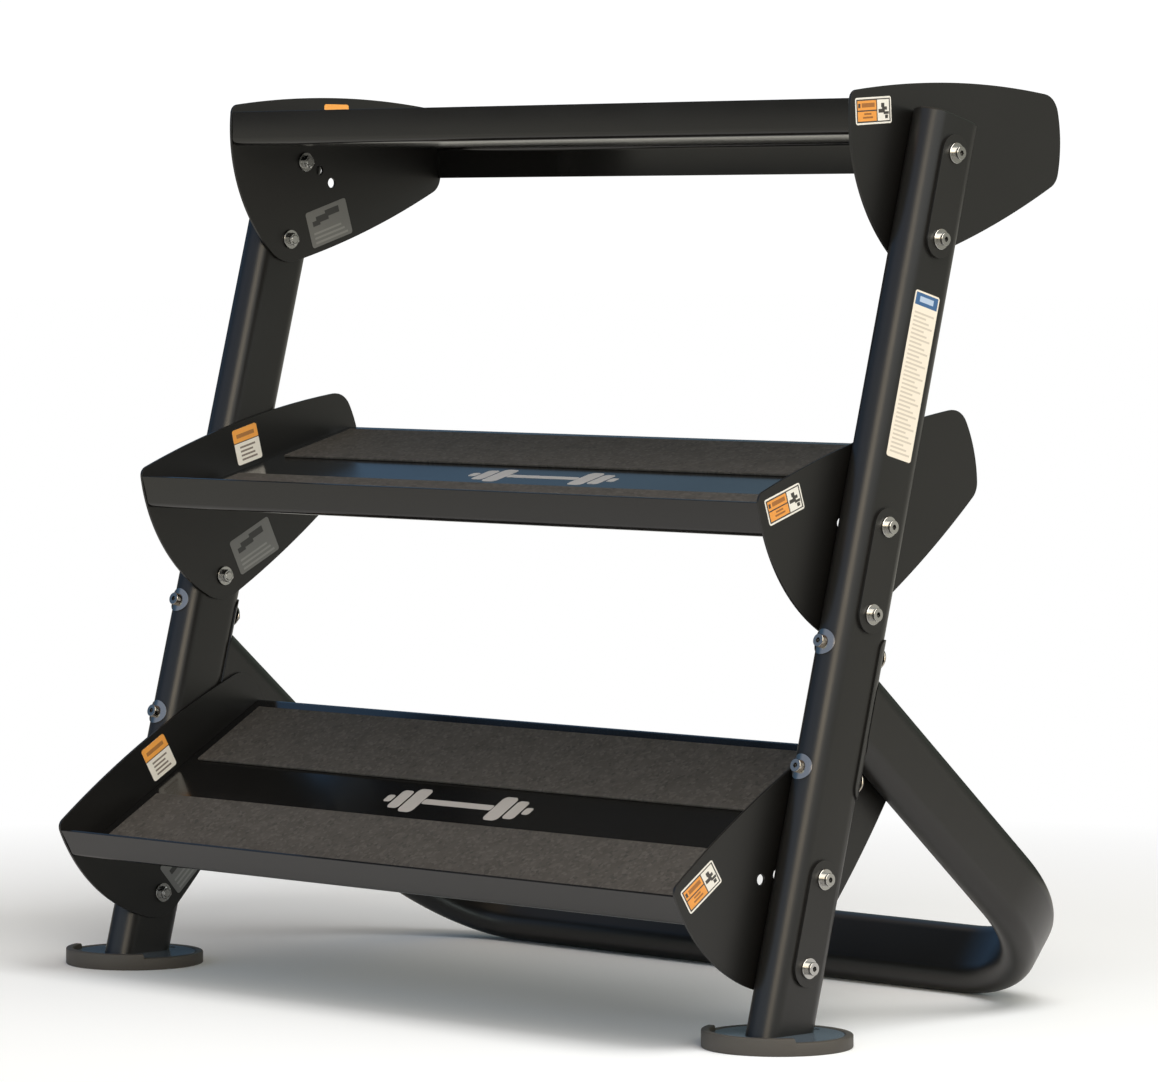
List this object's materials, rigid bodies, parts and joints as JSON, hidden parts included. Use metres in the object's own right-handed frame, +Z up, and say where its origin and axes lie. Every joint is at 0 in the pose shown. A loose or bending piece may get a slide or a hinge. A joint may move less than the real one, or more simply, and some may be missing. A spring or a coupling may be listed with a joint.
{
  "type": "dumbbell rack",
  "caption": "Leaning storage rack with tiered tilting trays between side plates, on flat-oval posts with round feet and a bent tube rear stand.",
  "frame": {"origin": "on the floor, in the middle of the rack's footprint", "axes": "+X to the right along the trays, +Y to the rear, towards the stand's floor bar, +Z up"},
  "size_m": [1.1136, 0.613, 0.9499],
  "materials": {
    "powder_coat": "satin near-black powder coat",
    "gloss_powder_coat": "smoother near-black powder coat",
    "base_plate_steel": "satin grey coated steel",
    "foot_rubber": "matte moulded rubber",
    "mat_rubber": "matte granular rubber",
    "cap_plastic": "matte moulded plastic",
    "zinc_steel": "bright zinc plate"
  },
  "bodies": {
    "rack": {"base_plate_left": "base_plate_steel", "base_plate_right": "base_plate_steel", "foot_left": "foot_rubber", "foot_right": "foot_rubber", "lower_angle_bolt_left": "zinc_steel", "lower_angle_bolt_right": "zinc_steel", "lower_angle_nut_left": "zinc_steel", "lower_angle_nut_right": "zinc_steel", "lower_bolt_strip_left": "powder_coat", "lower_bolt_strip_right": "powder_coat", "lower_pivot_bolt_left": "zinc_steel", "lower_pivot_bolt_right": "zinc_steel", "lower_pivot_nut_left": "zinc_steel", "lower_pivot_nut_right": "zinc_steel", "middle_angle_bolt_left": "zinc_steel", "middle_angle_bolt_right": "zinc_steel", "middle_angle_nut_left": "zinc_steel", "middle_angle_nut_right": "zinc_steel", "middle_bolt_strip_left": "powder_coat", "middle_bolt_strip_right": "powder_coat", "middle_pivot_bolt_left": "zinc_steel", "middle_pivot_bolt_right": "zinc_steel", "middle_pivot_nut_left": "zinc_steel", "middle_pivot_nut_right": "zinc_steel", "rear_stand": "powder_coat", "stand_bolt_lower_left": "zinc_steel", "stand_bolt_lower_right": "zinc_steel", "stand_bolt_upper_left": "zinc_steel", "stand_bolt_upper_right": "zinc_steel", "stand_saddle_left": "powder_coat", "stand_saddle_right": "powder_coat", "top_angle_bolt_left": "zinc_steel", "top_angle_bolt_right": "zinc_steel", "top_angle_nut_left": "zinc_steel", "top_angle_nut_right": "zinc_steel", "top_bolt_strip_left": "powder_coat", "top_bolt_strip_right": "powder_coat", "top_pivot_bolt_left": "zinc_steel", "top_pivot_bolt_right": "zinc_steel", "top_pivot_nut_left": "zinc_steel", "top_pivot_nut_right": "zinc_steel", "upright_cap_left": "cap_plastic", "upright_cap_right": "cap_plastic", "upright_left": "powder_coat", "upright_right": "powder_coat"},
    "top_tray": {"top_mat_front": "mat_rubber", "top_mat_rear": "mat_rubber", "top_side_plate_left": "gloss_powder_coat", "top_side_plate_right": "gloss_powder_coat", "top_tray_pan": "gloss_powder_coat"},
    "middle_tray": {"middle_mat_front": "mat_rubber", "middle_mat_rear": "mat_rubber", "middle_side_plate_left": "gloss_powder_coat", "middle_side_plate_right": "gloss_powder_coat", "middle_tray_pan": "gloss_powder_coat"},
    "lower_tray": {"lower_mat_front": "mat_rubber", "lower_mat_rear": "mat_rubber", "lower_side_plate_left": "gloss_powder_coat", "lower_side_plate_right": "gloss_powder_coat", "lower_tray_pan": "gloss_powder_coat"}
  },
  "joints": [
    {"name": "top_tray_tilt", "type": "hinge", "parent": "rack", "child": "top_tray", "pos_m": [0, 0.03012, 0.79206], "axis": [1, 0, 0], "range_deg": [0, 30]},
    {"name": "middle_tray_tilt", "type": "hinge", "parent": "rack", "child": "middle_tray", "pos_m": [0, -0.06927, 0.42114], "axis": [1, 0, 0], "range_deg": [-15, 15]},
    {"name": "lower_tray_tilt", "type": "hinge", "parent": "rack", "child": "lower_tray", "pos_m": [0, -0.16141, 0.07727], "axis": [1, 0, 0], "range_deg": [-30, 0]}
  ]
}
